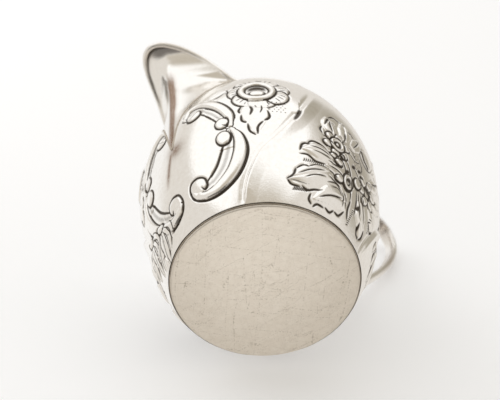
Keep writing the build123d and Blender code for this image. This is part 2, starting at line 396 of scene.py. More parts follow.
def chase_rose(relief, rng):
    """Open rose above the scrolls, with a three-lobed leaf under it and a bud beside it."""
    for i in range(ROSE_PETALS):
        a = math.tau * i / ROSE_PETALS + 0.35
        across, up = math.cos(a), math.sin(a)
        petal = (ROSE_AT[0] + 10.2 * across, ROSE_AT[1] + 7.3 * up)
        relief.dome(petal, (4.4, 3.3), 0.5, tilt=math.degrees(a) + 90, outline=0.85)
        for swing in (-0.2, 0.0, 0.2):
            line = [(ROSE_AT[0] + r * 1.4 * math.cos(a + swing), ROSE_AT[1] + r * math.sin(a + swing))
                    for r in (7.2, 9.6)]
            relief.stroke(line, 0.2, 0.16, 0.7)
    relief.ring((42.4, 48.4), (6.0, 6.7), 0.6, 1.0)
    relief.dome((42.4, 46.8), (2.5, 1.9), 0.65)
    relief.stroke(((38.4, 49.2), (42.4, 50.6), (46.2, 49.4)), 0.24, 0.2, 0.8)
    relief.band(((41.2, 40.6), (41.0, 36.0), (41.3, 31.0), (41.3, 25.8)), (3.2, 4.4, 3.0, 0.5),
                leaf_profile(0.5, 0.3))
    for line in (((34.6, 39.8), (33.4, 38.0), (33.8, 36.4)), ((34.4, 35.4), (34.6, 32.6), (36.8, 31.2)),
                 ((37.2, 30.6), (38.0, 27.4), (40.8, 25.2)), ((41.7, 25.6), (42.0, 28.6), (44.6, 31.2)),
                 ((45.0, 31.4), (47.6, 33.6), (47.0, 36.6))):
        relief.stroke(line, 0.34, 0.34, 1.0)
    relief.stroke(((38.5, 39.4), (39.6, 37.2), (38.5, 34.0)), 0.42, 0.3, 0.9, 0.2)
    relief.stroke(((44.0, 39.2), (44.2, 37.4), (43.2, 35.0)), 0.26, 0.22, 0.8)
    relief.stroke(((41.0, 39.6), (41.9, 38.2)), 0.24, 0.2, 0.6)
    relief.band(((18.6, 48.6), (22.0, 50.6), (27.0, 53.4)), (0.5, 1.9, 1.2), leaf_profile(0.5, 0.4, 0.7))
    relief.stroke(((27.0, 51.2), (28.4, 50.4), (27.6, 53.8)), 0.3, 0.3, 0.8)
    relief.dots((47.0, 36.6), (56.0, 41.4), 1.35, rng)


def chase_spray(relief, rng):
    """Bunch of flowers and leaves on the side of the bowl."""
    leaves = (
        ((80.0, 22.0), (71.0, 22.4), (62.5, 21.4), 3.0), ((79.0, 16.5), (67.0, 12.2), (56.0, 9.0), 3.6),
        ((92.0, 9.5), (82.0, 8.6), (71.0, 4.6), 3.6), ((101.0, 15.0), (105.5, 9.5), (109.0, 4.2), 2.4),
        ((80.0, 33.0), (77.0, 37.5), (76.0, 41.5), 2.6), ((86.0, 35.0), (87.0, 39.5), (85.0, 44.0), 2.8),
        ((92.0, 34.0), (95.5, 38.0), (97.5, 42.0), 2.4), ((108.0, 27.0), (113.0, 30.0), (117.0, 34.5), 2.4),
        ((110.0, 18.0), (115.5, 16.0), (119.0, 12.0), 2.6),
        ((112.0, 22.5), (118.0, 23.0), (123.0, 25.5), 2.2),
    )
    for root, middle, tip, half in leaves:
        relief.band((root, middle, tip), (half * 0.6, half, 0.3), leaf_profile(0.7, 0.45))
    relief.dome((104.0, 36.6), (3.6, 4.2), 0.7, outline=0.6)
    for turn in range(0, 360, 60):
        a = math.radians(turn + 20)
        relief.dome((82.0 + 5.6 * math.cos(a), 29.8 + 3.7 * math.sin(a)), (1.9, 1.6), 0.5, turn, 0.85)
        relief.dome((106.0 + 5.8 * math.cos(a), 21.6 + 3.9 * math.sin(a)), (2.0, 1.5), 0.45, turn, 0.7)
    relief.dome((84.8, 16.4), (1.9, 1.5), 0.6, tilt=30)
    relief.dome((83.2, 22.6), (1.7, 1.3), 0.6, tilt=-20)
    relief.dome((79.6, 24.0), (1.3, 1.0), 0.5)
    relief.ring((82.0, 29.8), (2.9, 3.0), 0.42, 0.5)
    relief.dome((82.0, 29.9), (0.8, 0.9), 0.4)
    relief.ring((90.6, 17.6), (2.2, 3.3), 0.35, 0.4)
    relief.dome((97.0, 20.4), (1.7, 2.2), 0.45)
    relief.ring((106.0, 21.6), (2.0, 2.1), 0.75, 0.3)
    outlines = (
        ((61.8, 20.6), (63.2, 23.6), (67.0, 24.6)), ((65.4, 24.4), (68.4, 26.2), (73.5, 25.8), (78.0, 23.6)),
        ((61.8, 19.2), (66.0, 19.6), (70.2, 18.2), (76.0, 18.8)), ((55.4, 9.0), (58.6, 10.6), (60.0, 13.4)),
        ((60.2, 13.2), (63.5, 14.9), (66.4, 14.8)), ((55.8, 8.8), (58.2, 7.4), (63.0, 7.2)),
        ((63.6, 7.8), (67.0, 6.8), (71.0, 7.8), (75.5, 8.6)), ((69.2, 6.2), (68.6, 4.2), (70.4, 2.8)),
        ((71.4, 2.2), (74.0, 3.6), (78.5, 3.5)), ((79.0, 3.9), (82.5, 3.2), (85.0, 4.6)),
        ((85.4, 4.4), (89.0, 4.2), (92.0, 6.8)), ((104.4, 8.2), (105.6, 5.0), (108.8, 3.8)),
        ((109.2, 4.0), (111.4, 5.8), (111.2, 8.8)), ((94.6, 12.0), (94.0, 8.4), (95.4, 5.2)),
        ((73.6, 32.0), (72.4, 33.6), (73.4, 35.6)), ((74.6, 36.4), (77.0, 40.2), (81.0, 40.0)),
        ((77.4, 42.0), (81.6, 44.0), (87.4, 42.0)), ((88.4, 39.8), (92.4, 42.2), (96.0, 38.8)),
        ((98.6, 40.8), (101.0, 34.6), (106.4, 32.8)), ((113.0, 34.8), (117.4, 34.6), (118.6, 31.2)),
        ((112.4, 13.8), (117.4, 11.8), (120.0, 13.4)), ((119.0, 27.2), (124.0, 27.2), (123.4, 23.6)),
    )
    for line in outlines:
        relief.stroke(line, 0.33, 0.34, 1.0)
    veins = (
        ((67.0, 23.2), (72.0, 23.4), (77.6, 22.6)), ((68.4, 21.8), (73.0, 21.8), (78.4, 21.4)),
        ((61.0, 11.2), (68.0, 14.0), (75.4, 15.8)), ((65.0, 10.6), (70.0, 12.6), (76.4, 13.8)),
        ((66.0, 14.6), (71.0, 16.8), (77.0, 17.4)), ((74.0, 6.0), (81.0, 8.4), (88.0, 9.8)),
        ((78.0, 12.8), (83.6, 13.8), (88.0, 11.6)), ((80.4, 11.4), (84.4, 12.2), (87.4, 10.6)),
        ((84.0, 26.4), (87.6, 22.6), (89.6, 20.0)), ((87.6, 27.0), (91.6, 22.0), (93.6, 15.0), (94.2, 11.0)),
        ((92.6, 27.0), (96.4, 24.4), (101.0, 22.0)), ((97.4, 17.8), (99.0, 13.0), (99.6, 8.2)),
        ((99.0, 18.0), (101.4, 13.4), (103.0, 9.6)), ((100.6, 18.4), (104.0, 14.0), (107.0, 9.4)),
        ((103.0, 17.4), (106.4, 14.0), (109.8, 11.6)), ((86.4, 33.0), (87.0, 37.0), (85.8, 41.4)),
        ((79.0, 34.6), (77.8, 37.0), (77.2, 39.6)), ((92.6, 34.8), (95.0, 37.6), (96.8, 40.2)),
        ((108.6, 28.0), (112.8, 30.6), (115.8, 33.6)), ((110.6, 17.8), (115.0, 16.0), (117.8, 13.4)),
        ((90.0, 31.0), (94.0, 29.4), (98.0, 30.4)), ((96.4, 34.0), (99.6, 30.6), (100.0, 27.0)),
        ((76.0, 24.5), (81.0, 25.2), (85.0, 24.0)), ((77.0, 20.6), (82.0, 20.8), (86.0, 21.4)),
        ((78.0, 19.2), (83.0, 19.2), (87.4, 18.4)), ((77.0, 17.4), (81.0, 16.8), (83.0, 15.6)),
        ((78.0, 14.8), (82.0, 14.4), (86.4, 13.4)), ((81.0, 26.6), (85.0, 26.8), (88.0, 25.4)),
        ((86.6, 12.8), (88.8, 10.6), (89.4, 7.6)), ((89.6, 13.0), (91.2, 10.4), (91.8, 7.8)),
        ((79.4, 28.6), (77.0, 30.6), (73.6, 31.4)), ((95.0, 30.0), (92.6, 32.6), (89.0, 33.4)),
    )
    for line in veins:
        relief.stroke(line, 0.26, 0.26, 0.85)
    for centre in ((88.9, 21.2), (93.0, 25.6), (97.6, 26.4), (99.8, 24.8), (84.6, 24.6), (100.4, 11.6)):
        relief.stroke((centre, (centre[0] + 0.9, centre[1] + 0.7)), 0.6, 0.3, 0.95, 1.0)
    relief.hatch((63.4, 16.6), (75.0, 17.6), 11, 1.0, 0.4)
    relief.hatch((58.6, 5.6), (67.0, 6.2), 9, 1.1, 0.9)
    relief.hatch((95.6, 3.4), (97.4, 10.0), 9, 0.3, 1.4)
    relief.hatch((112.4, 14.8), (114.4, 9.6), 7, 0.3, 1.4)
    relief.dots((93.6, 26.4), (99.0, 33.0), 1.25, rng)
    relief.dots((109.0, 35.0), (114.0, 40.0), 1.35, rng)


def chase_sprig(relief, root, lean):
    """Spreading acanthus leaf by the foot of the bowl."""
    for length, spread in ((5.6, 13.0), (5.4, -13.0), (8.4, 7.4), (8.0, -7.4), (11.0, 0.0)):
        tip = (root[0] + spread + lean, root[1] - length)
        middle = (root[0] + spread * 0.75 + lean * 0.4, root[1] - length * 0.45)
        relief.band((root, middle, tip), (1.0, 1.9, 0.3), leaf_profile(0.6, 0.4, 0.9))
        relief.stroke((root, middle, tip), 0.2, 0.2, 0.8)
    relief.dome((root[0], root[1] + 0.6), (1.8, 1.5), 0.6)


def chase(turn, z):
    """All the chasing on the bowl."""
    relief = Relief(turn, z)
    rng = random.Random(7)
    relief.centre = CHASING_TURN
    crease = ((31.5, 0.5), (34.0, 7.0), (38.0, 13.0), (43.0, 19.0), (50.0, 24.5), (56.0, 30.5), (62.0, 38.0),
              (66.5, 45.0), (70.5, 52.0), (74.0, 60.0))
    for side in (1, -1):
        relief.side = side
        for shift in (0.0, 84.0):
            path = [(a + shift, b) for a, b in crease]
            relief.band(path, (CREASE_HALF,) * len(path), lambda q, p: step_profile(-q, p), added=True)
        relief.stroke(((58.8, 32.6), (61.4, 37.0), (62.4, 40.0)), 0.6, 0.4, 1.0, 0.1)
        chase_cartouche(relief)
        chase_rose(relief, rng)
        chase_spray(relief, rng)
        chase_sprig(relief, (140.0, 17.0), 3.0)
        relief.centre = CHASING_TURN + side * SECOND_ROSE_TURN
        chase_rose(relief, rng)
        relief.centre = CHASING_TURN
    relief.side = -1
    chase_sprig(relief, (24.0, 10.5), 8.0)
    chase_sprig(relief, (38.0, 13.5), 6.0)
    return np.clip(relief.height, -0.7, 1.4), clamp(relief.dark)


# ---- sheet of bowl and spout


def edge_height(forward):
    """Height of the sheet's edge at a distance forward of the axis."""
    return smooth_table(RIM_ROWS, forward) - EDGE_DROP


def mouth_height(turn, inset):
    """Height of the sheet's edge at an angle round from the spout, on a surface inset from the bowl's."""
    z = np.full_like(turn, 70.0)
    for _ in range(20):
        z = 0.5 * z + 0.5 * edge_height(bowl_radius(z, inset) * np.cos(np.radians(turn)))
    return z


def bowl_grid(rows, columns, inset, low):
    """Turn and height of each point of a grid over the bowl, from its lower edge to its mouth, round from one
    side of the notch to the other."""
    u = np.linspace(0, 1, columns)
    v = np.linspace(0, 1, rows)[:, None]
    top_turn = MOUTH_TURN + u * (360 - 2 * MOUTH_TURN)
    top = mouth_height(top_turn, inset)[None, :]
    z = low + v * (top - low)
    notch = np.where(z > ROOT_Z, smooth_table(SEAM_ROWS, z), 0.0)
    turn = notch + u[None, :] * (360 - 2 * notch)
    return turn, z


def bowl_points(turn, z, radius, lift_r=0.0, lift_z=0.0):
    a = np.radians(turn)
    r = radius + lift_r
    return np.stack([-r * np.cos(a), -r * np.sin(a), z + lift_z], -1)


def make_bowl(material):
    """Closed shell: chased outer face, plain inner face, and the sheet's edges between them."""
    skip_r, skip_c = 5, 4  # the inner face has one row and column for so many of the outer face
    rows, columns = ((386, 1241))
    turn, z = bowl_grid(rows, columns, 0.0, PLATE_T)
    height, dark = (a.reshape(z.shape) for a in chase(turn.ravel(), z.ravel()))
    edge = clamp((z - PLATE_T) / 1.5) * clamp((mouth_height(turn, 0) - z) / 2.0)
    beside_notch = np.minimum(turn, 360 - turn) - smooth_table(SEAM_ROWS, z)
    seam = np.where(z > ROOT_Z - 2, clamp(beside_notch / 2), 1)
    height = height * edge * seam
    nr, nz = bowl_normal(z)
    outer = bowl_points(turn, z, bowl_radius(z), height * nr, height * nz)
    inner_turn, inner_z = bowl_grid(rows, columns, WALL, PLATE_T)
    inner = bowl_points(inner_turn, inner_z, bowl_radius(inner_z, WALL))[::skip_r, ::skip_c]
    index = np.arange(rows * columns).reshape(rows, columns)
    whole_steps = np.count_nonzero(z[:, 0] <= ROOT_Z) // skip_r
    closed = np.arange(rows) <= (whole_steps - 1) * skip_r
    index[closed, -1] = index[closed, 0]
    inner_count = inner.shape[0] * inner.shape[1]
    inside = rows * columns + np.arange(inner_count).reshape(inner.shape[:2])
    closed_in = closed[::skip_r]
    inside[closed_in, -1] = inside[closed_in, 0]
    faces = [quads(index)[:, ::-1], quads(inside)]
    for row in (0, -1):
        strip = [np.concatenate([index[row, j * skip_c:(j + 1) * skip_c + 1][::-1], inside[row, j:j + 2]])
                 for j in range(inside.shape[1] - 1)]
        faces.append(np.array(strip)[:, ::-1] if row == 0 else np.array(strip))
    for column in (0, -1):
        strip = [np.concatenate([index[i * skip_r:(i + 1) * skip_r + 1, column],
                                 inside[i:i + 2, column][::-1]])
                 for i in range(inside.shape[0] - 1) if not closed_in[i + 1]]
        faces.append(np.array(strip) if column == 0 else np.array(strip)[:, ::-1])
    used = np.zeros(rows * columns + inside.size, bool)
    for f in faces:
        used[f] = True
    number = np.cumsum(used) - 1
    points = np.concatenate([outer.reshape(-1, 3), inner.reshape(-1, 3)])[used]
    # Painted shade, with some tarnish: a dark band just below the sheet's edge, under the rim wire.
    shade_and_tarnish_under_wire = clamp(1 - (mouth_height(turn, 0) - z) / 1.6)
    dark = np.maximum(dark, 0.8 * shade_and_tarnish_under_wire)
    away = ((turn + 180) % 360 - 180) * 0.65
    root = np.exp(-((away - 1.4) / 2.8) ** 2 - ((z - ROOT_Z + 1.5) / 3.0) ** 2)
    below = ROOT_Z - z
    run = np.exp(-((away + 0.3 * below) / 0.8) ** 2) * clamp(below / 2) * clamp((z - 19) / 5)
    root = np.maximum(root, run)
    inner_zero = np.zeros(inner_count)
    attributes = {
        "patina_and_shade": np.concatenate([dark.ravel(), inner_zero])[used],
        "inside": np.concatenate([np.zeros(rows * columns), np.ones(inner_count)])[used],
        "stain": np.concatenate([0.9 * root.ravel(), inner_zero])[used],
    }
    obj = new_mesh("bowl_chased", points, [number[f] for f in faces], attributes)
    return finish_piece(obj, "body", material)


def spout_forward(z, b, inset):
    """Distance forward of the axis of the V sheet at height z and half width b."""
    nose = smooth_table(SPOUT_ROWS, z, 1)
    nose_r = smooth_table(SPOUT_ROWS, z, 2)
    angle = np.radians(smooth_table(SPOUT_ROWS, z, 3))
    b = np.abs(b)
    radius = nose_r - inset
    centre = nose - nose_r
    round_part = centre + np.sqrt(np.clip(radius ** 2 - b ** 2, 0, None))
    flat_part = centre + (radius - b * np.cos(angle)) / np.sin(angle)
    return np.where(b < radius * np.cos(angle), round_part, flat_part)


def spout_sheet(inset, rows, columns):
    """Grid of points over the spout, column by column from the root to the lip."""
    t = np.linspace(-1, 1, columns)[None, :]
    v = np.linspace(0, 1, rows)[:, None] ** 0.85
    top = smooth_table(LIP_ROWS, np.abs(t) * MOUTH_HALF) - EDGE_DROP
    z = ROOT_Z + v * (top - ROOT_Z)
    seam = smooth_table(SEAM_ROWS, z)
    seam_r = bowl_radius(z, inset)
    width = np.where(z < 71.4, seam_r * np.sin(np.radians(seam)), MOUTH_HALF)
    blend = clamp((z - 68.0) / 3.4)
    width = width * (1 - blend) + MOUTH_HALF * blend
    b = t * width
    a = spout_forward(z, b, inset)
    on_bowl = np.sqrt(np.clip(seam_r ** 2 - width ** 2, 0, None))
    wrong = (on_bowl - spout_forward(z, width, inset)) * clamp((74.0 - z) / 3.0)
    a = a + wrong * np.abs(t) ** 3
    return np.stack([-a, -b, z], -1)


def make_spout(material):
    """Closed V sheet with its keel."""
    rows, columns = 140, 121
    outer = spout_sheet(0.0, rows, columns)
    inner = spout_sheet(WALL, rows, columns)
    count = rows * columns
    index = np.arange(count).reshape(rows, columns)
    faces = [quads(index), quads(index + count)[:, ::-1]]
    loop = np.concatenate([index[0, :-1], index[:-1, -1], index[-1, :0:-1], index[:0:-1, 0]])
    after = np.roll(loop, -1)
    faces.append(np.stack([loop, loop + count, after + count, after], -1))
    t = np.abs(np.linspace(-1, 1, columns))[None, :] * np.ones((rows, 1))
    z = outer[..., 2]
    rng = random.Random(3)
    waver = np.cumsum([rng.uniform(-1, 1) for _ in range(rows)]) * 0.05
    keel = clamp(2.0 * np.exp(-(outer[..., 1] + 0.2 + waver[:, None]) ** 2))
    keel = keel * clamp((77 - z) / 6)
    v = np.linspace(0, 1, rows)[:, None]
    # Painted shade, with some tarnish: a dark band along the lip under the rim wire, on both faces of the
    # sheet.
    shade_and_tarnish_under_wire = clamp((v - 0.978) / 0.012) * np.ones_like(z)
    stain = np.concatenate([keel.ravel(), np.zeros(count)])
    seam = clamp((t - 0.93) / 0.07) * clamp((73 - z) / 3)
    dark = np.concatenate([np.maximum(0.75 * seam, 0.9 * shade_and_tarnish_under_wire).ravel(), 0.9 * shade_and_tarnish_under_wire.ravel()])
    points = np.concatenate([outer.reshape(-1, 3), inner.reshape(-1, 3)])
    obj = new_mesh("spout_sheet", points, faces, {"stain": stain, "patina_and_shade": dark})
    return finish_piece(obj, "spout", material)


def make_rim_wire(material):
    """Round wire that wraps the sheet's edge round mouth and spout."""
    lip = spout_sheet(WALL / 2, 4, 161)[-1]
    turn = np.linspace(MOUTH_TURN, 360 - MOUTH_TURN, 300)[1:-1]
    z = mouth_height(turn, WALL / 2)
    mouth = bowl_points(turn, z, bowl_radius(z, WALL / 2))
    path = np.concatenate([lip, mouth])
    for _ in range(2):
        step = np.linalg.norm(np.roll(path, -1, 0) - path, axis=1)
        total = np.concatenate([[0], np.cumsum(step)])
        even = np.linspace(0, total[-1], 521)[:-1]
        ring = np.vstack([path, path[:1]])
        path = np.stack([np.interp(even, total, ring[:, i]) for i in range(3)], -1)
        for _ in range(14):
            path = path + 0.5 * ((np.roll(path, 1, 0) + np.roll(path, -1, 0)) / 2 - path)
    out, up = frames_along(path, True)
    angles = circle(24)
    sections = [centre + WIRE_R * (np.cos(angles)[:, None] * o + np.sin(angles)[:, None] * u)
                for centre, o, u in zip(path, out, up)]
    # Painted shade and reflection: the wire is darkened on its lower side, more in some stretches than in
    # others.
    under = clamp(0.35 - np.sin(angles))[None, :] * np.ones((len(path), 1))
    patches = 0.28 + 0.22 * np.sin(np.arange(len(path)) * 0.043)[:, None]
    obj = tube("mouth_and_spout_wire", sections, True, {"patina_and_shade": under * patches})
    return finish_piece(obj, "rim_wire", material)


def held_outside(points, depth):
    """Points moved away from the axis wherever they lie deeper than a depth inside the bowl's surface."""
    points = np.array(points)
    r = np.hypot(points[..., 0], points[..., 1])
    scale = np.maximum(1, (bowl_radius(points[..., 2]) - depth) / np.maximum(r, 1))
    points[..., 0] *= scale
    points[..., 1] *= scale
    return points


def handle_line(per_span):
    """Points of the handle's centre line."""
    path = curve(HANDLE_PATH, per_span)
    return np.stack([path[:, 0], np.zeros(len(path)), path[:, 1]], -1)


def make_handle(material):
    """Bent bar, flat inside and domed outside, that swells a little where it meets the bowl."""
    centres = handle_line(16)
    out = -np.cross(tangents_along(centres), SIDEWAYS)
    angles = circle(40)
    below = np.sin(angles) < 0
    side = np.sign(np.cos(angles)) * np.abs(np.cos(angles)) ** np.where(below, 0.6, 0.9)
    rise = np.where(below, -0.2 - 0.8 * np.abs(np.sin(angles)) ** 0.6, -0.2 + 1.2 * np.abs(np.sin(angles)))
    place = np.linspace(0, 1, len(centres))
    swell = 1 + 0.28 * np.exp(-(place / 0.09) ** 2) + 0.28 * np.exp(-((1 - place) / 0.09) ** 2)
    sections = []
    for centre, o, s in zip(centres, out, swell):
        half_w, half_t = HANDLE_W / 2 * s, HANDLE_T / 2 * (1 + (s - 1) * 0.6)
        sections.append(centre + half_t * rise[:, None] * o + half_w * side[:, None] * SIDEWAYS)
    warm = 0.22 + 0.18 * np.sin(place * 23)[:, None] * np.ones((1, len(angles)))
    obj = tube("loop_handle", held_outside(sections, 0.3), False, {"stain": warm})
    return finish_piece(obj, "handle", material)


def solder_collar(name, node, at_end, material):
    """Flared fillet of solder round one end of the handle."""
    centres = handle_line(40)
    inside = centres[:, 0] < bowl_radius(centres[:, 2])
    leaving = np.nonzero(np.diff(inside.astype(int)))[0]
    start, step = (leaving[-1] + 1, -1) if at_end else (leaving[0], 1)
    tangent = tangents_along(centres)
    angles = circle(48)
    sections = []
    for i in range(9):
        f = i / 8
        k = start + step * (int(f * 9) - 4)
        o = np.cross(tangent[k], SIDEWAYS)
        grow = 0.12 + 1.15 * (1 - f) ** 2.2
        half_w, half_t = HANDLE_W / 2 * 1.2 + grow, HANDLE_T / 2 * 1.12 + grow
        waver = 1 + 0.03 * np.sin(angles * 3 + 1.0) + 0.02 * np.sin(angles * 7)
        sections.append(centres[k] + (half_t * waver * np.sin(angles))[:, None] * o
                        + (half_w * waver * np.cos(angles))[:, None] * SIDEWAYS)
    obj = tube(name, held_outside(sections, 0.2), False)
    return finish_piece(obj, node, material)


def make_spout_solder(material):
    """Low bead of solder up both sides of the notch, joined at the root."""
    z = np.linspace(ROOT_Z + 0.2, 71.5, 90)
    turn = smooth_table(SEAM_ROWS, z)
    r = bowl_radius(z) + 0.02
    left = bowl_points(turn, z, r)
    right = bowl_points(-turn, z, r)
    path = np.concatenate([left[::-1], right])
    for _ in range(3):
        path[1:-1] += 0.5 * ((path[:-2] + path[2:]) / 2 - path[1:-1])
    out, across = frames_along(path)
    angles = circle(16)
    rng = random.Random(11)
    sections = []
    for centre, o, c in zip(path, out, across):
        size = 0.34 * (1 + rng.uniform(-0.12, 0.12))
        sections.append(centre + size * (np.cos(angles)[:, None] * o * 0.7 + np.sin(angles)[:, None] * c))
    obj = tube("spout_solder_seam", sections, False)
    return finish_piece(obj, "spout_solder", material)


def make_base_plate(material):
    """Disc with a softened lower edge and a face that is not quite true."""
    around = 360
    edge = PLATE_R - 0.5
    radii = np.concatenate([np.linspace(0.6, edge, 70), edge + 0.5 * np.sin(np.linspace(0.2, 1.5, 7))])
    a = circle(around)
    lower = []
    for r in radii:
        drop = 0.45 * (1 - math.sqrt(max(0.0, 1 - ((max(r, edge) - edge) / 0.5) ** 2)))
        wave = 0.035 * (1 + np.sin(a * 2 + r * 0.12) * np.cos(r * 0.21 + a)) * min(1, (PLATE_R - r) / 4)
        lower.append(np.stack([r * np.cos(a), r * np.sin(a), wave + drop + 0 * a], -1))
    upper = [np.stack([r * np.cos(a), r * np.sin(a), PLATE_T + 0 * a], -1)
             for r in (PLATE_R, 20.0, 10.0, 0.6)]
    rings = np.array(lower + upper)
    index = np.arange(rings.shape[0] * around).reshape(rings.shape[0], around)
    index = np.hstack([index, index[:, :1]])
    middle = rings.shape[0] * around
    fan_low = np.stack([index[0, :-1], index[0, 1:], np.full(around, middle)], -1)
    fan_high = np.stack([index[-1, 1:], index[-1, :-1], np.full(around, middle + 1)], -1)
    points = np.vstack([rings.reshape(-1, 3), [[0, 0, lower[0][:, 2].mean()], [0, 0, PLATE_T]]])
    faces = [quads(index), fan_low[:, ::-1], fan_high[:, ::-1]]
    obj = new_mesh("base_disc", points, faces)
    return finish_piece(obj, "base_plate", material)


def make_base_solder(material):
    """Thin run of solder outside, in the corner between disc and bowl."""
    angles = circle(12)
    sections = []
    for turn in circle(360):
        size = 0.2 * (1 + 0.12 * math.sin(turn * 9) + 0.08 * math.sin(turn * 23 + 1))
        r = PLATE_R + 0.12 + size * np.cos(angles)
        z = PLATE_T - 0.1 + size * np.sin(angles)
        sections.append(np.stack([r * math.cos(turn), r * math.sin(turn), z], -1))
    obj = tube("base_solder_ring", sections, True)
    return finish_piece(obj, "base_solder", material)


def make_base_fillet(material):
    """Fillet of solder inside, in the corner between disc and bowl."""
    sections = []
    for turn in circle(240):
        reach = FILLET * (1 + 0.06 * math.sin(turn * 7) + 0.04 * math.sin(turn * 17 + 2))
        top = PLATE_T + reach
        foot_r = float(bowl_radius(PLATE_T, WALL)) - reach
        top_r = float(bowl_radius(top, WALL))
        profile = np.array(((foot_r, PLATE_T), ((foot_r + top_r) / 2 + 0.1, (PLATE_T + top) / 2 - 0.1),
                            (top_r, top), (top_r + FILLET_HOLD, top), (top_r + FILLET_HOLD, PLATE_T)))
        r, z = profile[:, 0], profile[:, 1]
        sections.append(np.stack([r * math.cos(turn), r * math.sin(turn), z], -1))
    obj = tube("base_solder_fillet", sections, True)
    return finish_piece(obj, None, material)


# ---- materials


class Nodes:
    """Short calls for building a node tree."""

    def __init__(self, tree):
        self.tree = tree

    def add(self, kind, inputs=None, **settings):
        node = self.tree.nodes.new("ShaderNode" + kind)
        for key, value in settings.items():
            setattr(node, key, value)
        for key, value in (inputs or {}).items():
            self.feed(node.inputs[key], value)
        return node

    def feed(self, socket, value):
        if isinstance(value, bpy.types.NodeSocket):
            self.tree.links.new(value, socket)
        else:
            socket.default_value = value

    def math(self, operation, a, b=0.0, clamp=False):
        return self.add("Math", {0: a, 1: b}, operation=operation, use_clamp=clamp).outputs[0]

    def times(self, a, b, clamp=False):
        return self.math("MULTIPLY", a, b, clamp)

    def mix(self, factor, a, b):
        node = self.add("Mix", data_type="RGBA")
        self.feed(node.inputs["Factor"], factor)
        self.feed(node.inputs["A"], a)
        self.feed(node.inputs["B"], b)
        return node.outputs["Result"]

    def noise(self, scale, detail=3.0, vector=None):
        inputs = {"Scale": scale, "Detail": detail}
        if vector is not None:
            inputs["Vector"] = vector
        return self.add("TexNoise", inputs).outputs["Fac"]

    def span(self, value, low, high, to_low=0.0, to_high=1.0):
        inputs = {0: value, 1: low, 2: high, 3: to_low, 4: to_high}
        return self.add("MapRange", inputs, clamp=True).outputs[0]

    def position(self, stretch, turn):
        coordinates = self.add("TexCoord").outputs["Object"]
        turned = self.add("Mapping", {"Vector": coordinates, "Rotation": turn}).outputs[0]
        return self.add("Mapping", {"Vector": turned, "Scale": stretch}).outputs[0]


def material(name):
    made = bpy.data.materials.new(name)
    made.use_nodes = True
    nodes = Nodes(made.node_tree)
    return made, nodes, made.node_tree.nodes["Principled BSDF"]


def set_surface(nodes, shader, tone, metallic, rough, height, strength, distance):
    """Feeds colour, metal, roughness and a bump made from a height."""
    bump = nodes.add("Bump", {"Height": height, "Strength": strength, "Distance": distance}).outputs[0]
    for name, value in (("Base Color", tone), ("Metallic", metallic), ("Roughness", rough), ("Normal", bump)):
        nodes.feed(shader.inputs[name], value)


def scratch_lines(nodes, scale, threshold, turns):
    """Sparse hairlines: thin level lines of noise stretched one way, once for each turn."""
    total = None
    for i, turn in enumerate(turns):
        vector = nodes.position((scale, scale * 0.06, scale), turn)
        field = nodes.noise(1.0, 2.0, vector)
        line = nodes.span(nodes.math("ABSOLUTE", nodes.math("SUBTRACT", field, 0.5)), threshold, 0.0)
        patch = nodes.span(nodes.noise(90 + 40 * i, 1.0), 0.5, 0.6)
        line = nodes.times(line, patch)
        total = line if total is None else nodes.math("MAXIMUM", total, line)
    return total


def polished_silver():
    """Hand-worked silver: bright, softly uneven, dark where the tracer has pushed it in, as tarnish together
    with painted shade; painted shade also darkens the band under the rim wire and the wire's lower side.
    """
    made, nodes, shader = material("polished_silver")
    patina_and_shade, inside, stain = (nodes.add("Attribute", attribute_name=name).outputs["Fac"]
                             for name in ("patina_and_shade", "inside", "stain"))
    cloud = nodes.noise(55.0, 4.0)
    grime = nodes.noise(900.0, 3.0)
    tone = nodes.mix(nodes.span(cloud, 0.35, 0.7), (0.97, 0.955, 0.93, 1), (0.925, 0.90, 0.865, 1))
    # Tarnish in the chased hollows and painted shade darken the silver towards near black.
    depth = nodes.times(patina_and_shade, nodes.span(grime, 0.2, 0.6, 0.82, 1.1), clamp=True)
    depth = nodes.span(depth, 0.25, 0.7)
    tone = nodes.mix(depth, tone, (0.075, 0.06, 0.045, 1))
    brown = nodes.times(stain, nodes.span(nodes.noise(420.0, 4.0), 0.3, 0.5), clamp=True)
    tone = nodes.mix(brown, tone, (0.20, 0.095, 0.035, 1))
    tone = nodes.mix(nodes.times(inside, 0.5), tone, (0.80, 0.77, 0.72, 1))
    scratches = scratch_lines(nodes, 1600.0, 0.02, ((0.3, 0.8, 0.1), (1.3, 0.4, 2.0), (2.2, 1.5, 0.9)))
    rough = nodes.math("ADD", nodes.span(nodes.noise(240.0, 5.0), 0.3, 0.75, 0.07, 0.14),
                       nodes.times(depth, 0.35))
    rough = nodes.math("ADD", rough, nodes.times(inside, 0.18))
    rough = nodes.math("ADD", rough, nodes.times(scratches, 0.16))
    dents = nodes.math("ADD", nodes.times(nodes.noise(130.0, 2.0), 1.0),
                       nodes.times(nodes.noise(2400.0, 2.0), 0.03))
    dents = nodes.math("SUBTRACT", dents, nodes.times(scratches, 0.05))
    set_surface(nodes, shader, tone, nodes.span(depth, 0.3, 1.0, 1.0, 0.75), rough, dents, 0.22, 0.0001)
    return made


